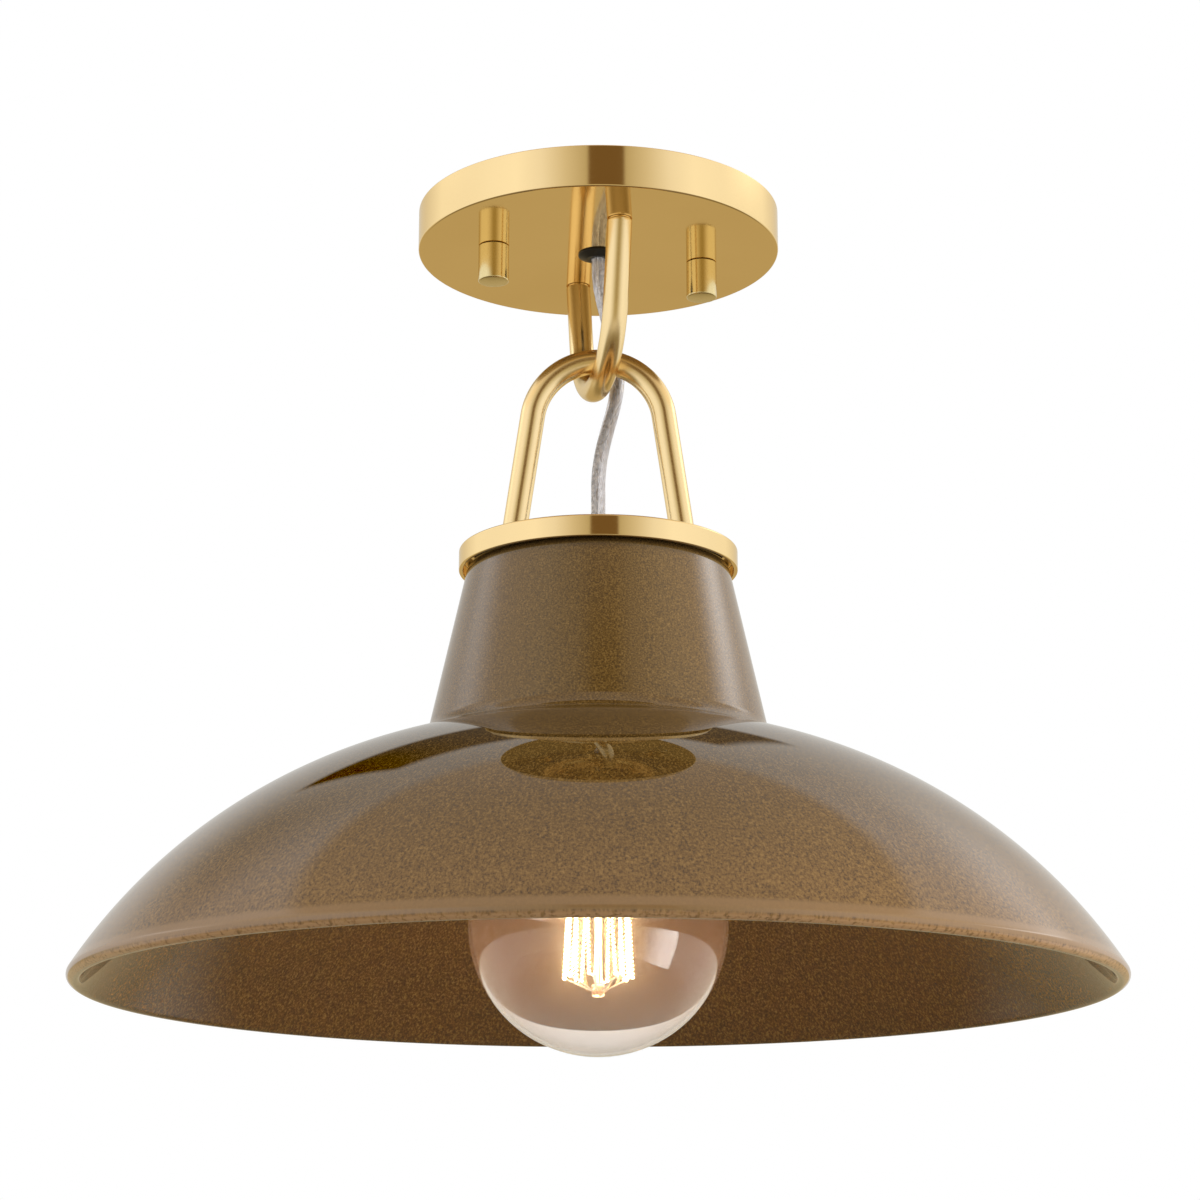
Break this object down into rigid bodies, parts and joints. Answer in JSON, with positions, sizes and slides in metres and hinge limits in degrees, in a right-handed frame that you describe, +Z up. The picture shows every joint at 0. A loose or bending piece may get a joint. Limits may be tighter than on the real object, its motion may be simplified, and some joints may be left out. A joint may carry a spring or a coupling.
{
  "type": "semi-flush ceiling light",
  "caption": "Semi-flush ceiling light: a wide glazed ceramic shade with a clear globe bulb hangs by a bail hooked through a bent-rod loop under a round brass canopy.",
  "frame": {"origin": "on the ceiling plane, midway between the two box screw slots, above the centre of the canopy", "axes": "+Z up into the ceiling, X along the two canopy studs and cap nuts, Y along the bar of the hanging loop and along the box screw slots"},
  "size_m": [0.383, 0.383, 0.3258],
  "materials": {
    "satin_brass": "satin brushed and lacquered",
    "plain_brass": "plain pressed sheet",
    "zinc_steel": "zinc plated",
    "green_screw": "green lacquer",
    "black_plastic": "moulded, low gloss",
    "clear_cord": "clear jacket over silvered strands",
    "lead_insulation": "soft insulation",
    "connector_plastic": "ribbed moulding",
    "nylon_screw": "natural nylon",
    "gasket_rubber": "matte",
    "glazed_ceramic": "glossy brown-olive glaze with a fine gold speckle",
    "red_fibre": "pressed fibre",
    "clear_glass": "clear, polished",
    "base_aluminium": "rolled thread",
    "base_insulator": "black glass",
    "solder": "soldered tip",
    "support_wire": "fine drawn wire",
    "glowing_filament": "lit filament"
  },
  "bodies": {
    "ceiling": {"mounting_bracket": "zinc_steel", "bracket_studs": "zinc_steel", "stud_lock_nuts": "zinc_steel", "ground_screw": "green_screw", "canopy": "satin_brass", "hanging_loop": "satin_brass", "loop_screws": "zinc_steel", "loop_lock_washers": "zinc_steel", "canopy_cord_bushing": "black_plastic", "cord_canopy_end": "clear_cord", "supply_leads": "lead_insulation", "wire_connectors": "connector_plastic"},
    "left_nut": {"left_cap_nut": "satin_brass"},
    "right_nut": {"right_cap_nut": "satin_brass"},
    "swing_link": {"power_cord": "clear_cord"},
    "lamp": {"bail": "satin_brass", "bail_screws": "zinc_steel", "collar_cap": "satin_brass", "cord_grip": "satin_brass", "grip_set_screw": "nylon_screw", "cord_lamp_end": "clear_cord", "threaded_nipple": "zinc_steel", "shade_gasket": "gasket_rubber", "shade": "glazed_ceramic", "shade_fibre_washer": "red_fibre", "shade_steel_washer": "zinc_steel", "shade_lock_nut": "zinc_steel", "socket_cap": "black_plastic", "socket_body": "black_plastic", "socket_terminal_screws": "plain_brass", "socket_leads": "lead_insulation", "socket_screw_shell": "plain_brass", "socket_center_contact": "plain_brass"},
    "bulb": {"bulb_globe": "clear_glass", "bulb_screw_base": "base_aluminium", "bulb_base_insulator": "base_insulator", "bulb_center_contact": "solder", "bulb_stem": "clear_glass", "filament_supports": "support_wire", "bulb_filament": "glowing_filament"}
  },
  "joints": [
    {"name": "loop_swing", "type": "hinge", "parent": "ceiling", "child": "swing_link", "pos_m": [0, 0, -0.0699], "axis": [0, 1, 0], "range_deg": [-45, 45]},
    {"name": "bail_swing", "type": "hinge", "parent": "swing_link", "child": "lamp", "pos_m": [0, 0, -0.0601], "axis": [0.9763, -0.2164, 0], "range_deg": [-45, 45]},
    {"name": "left_nut_turn", "type": "hinge", "parent": "ceiling", "child": "left_nut", "pos_m": [-0.0413, 0, -0.0163], "axis": [0, 0, 1], "continuous": true},
    {"name": "right_nut_turn", "type": "hinge", "parent": "ceiling", "child": "right_nut", "pos_m": [0.0413, 0, -0.0163], "axis": [0, 0, 1], "continuous": true},
    {"name": "bulb_turn", "type": "hinge", "parent": "lamp", "child": "bulb", "pos_m": [0, 0, -0.1874], "axis": [0, 0, 1], "continuous": true}
  ]
}
